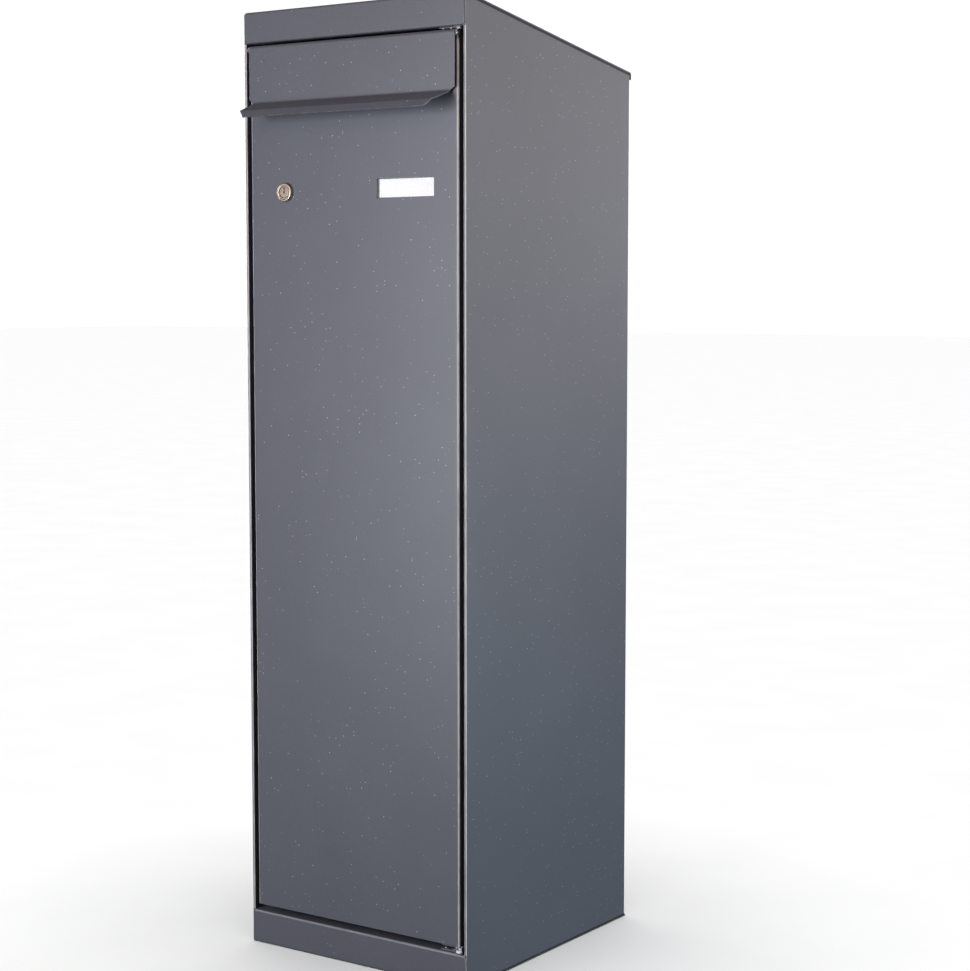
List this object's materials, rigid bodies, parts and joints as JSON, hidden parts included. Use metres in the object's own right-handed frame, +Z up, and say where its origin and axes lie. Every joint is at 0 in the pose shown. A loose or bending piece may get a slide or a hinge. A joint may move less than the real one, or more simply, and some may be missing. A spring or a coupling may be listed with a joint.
{
  "type": "parcel mailbox",
  "caption": "Tall free-standing sheet-steel mailbox with a lockable side-hinged door, a top-hung flap over the letter slot, a name window and a roof that falls to the rear.",
  "frame": {"origin": "centre of the base's footprint, on its underside", "axes": "+X right as the door is faced, +Y to the rear, +Z up"},
  "size_m": [0.3, 0.3635, 1.0445],
  "materials": {
    "housing_paint": "fine-textured anthracite powder coat",
    "door_paint": "fine-textured anthracite powder coat",
    "flap_paint": "fine-textured anthracite powder coat",
    "rivet_steel": "zinc plated",
    "zinc_steel": "zinc plated",
    "pin_steel": "bright stainless",
    "lock_nickel": "satin nickel",
    "seal_rubber": "matte",
    "black_plastic": "moulded",
    "white_nylon": "natural nylon",
    "clear_window": "clear acrylic",
    "white_card": "plain white card"
  },
  "bodies": {
    "housing": {"left_side_panel": "housing_paint", "right_side_panel": "housing_paint", "back_panel": "housing_paint", "back_rivets": "rivet_steel", "roof_cap": "housing_paint", "roof_seal": "seal_rubber", "base_pan": "housing_paint", "base_seal": "seal_rubber", "upper_pivot_plate": "housing_paint", "upper_pivot_pin": "pin_steel", "lower_pivot_plate": "housing_paint", "lower_pivot_pin": "pin_steel", "pivot_rivets": "rivet_steel", "door_buffers": "seal_rubber", "retrieval_guard": "housing_paint"},
    "door": {"door_panel": "door_paint", "slot_trim": "black_plastic", "door_stiffener": "door_paint", "slot_rail": "door_paint", "left_flap_bracket": "door_paint", "right_flap_bracket": "door_paint", "lower_hinge_plate": "door_paint", "lower_hinge_bush": "white_nylon", "door_rivets": "rivet_steel", "flap_rod": "pin_steel", "rod_clips": "pin_steel", "flap_bumpers": "seal_rubber", "nameplate_holder": "black_plastic", "nameplate_window": "clear_window", "name_card": "white_card", "lock_housing": "lock_nickel", "lock_nut": "zinc_steel"},
    "lock_rotor": {"lock_plug": "lock_nickel", "lock_cam": "zinc_steel", "cam_washer": "zinc_steel", "cam_screw": "pin_steel"},
    "flap": {"flap_panel": "flap_paint"}
  },
  "joints": [
    {"name": "door_swing", "type": "hinge", "parent": "housing", "child": "door", "pos_m": [0.1405, -0.161, 0.5], "axis": [0, 0, 1], "range_deg": [0, 90]},
    {"name": "flap_swing", "type": "hinge", "parent": "door", "child": "flap", "pos_m": [0, -0.1625, 1.0037], "axis": [-1, 0, 0], "range_deg": [0, 85]},
    {"name": "lock_turn", "type": "hinge", "parent": "door", "child": "lock_rotor", "pos_m": [-0.0912, -0.1625, 0.8475], "axis": [0, 1, 0], "range_deg": [0, 90]}
  ]
}
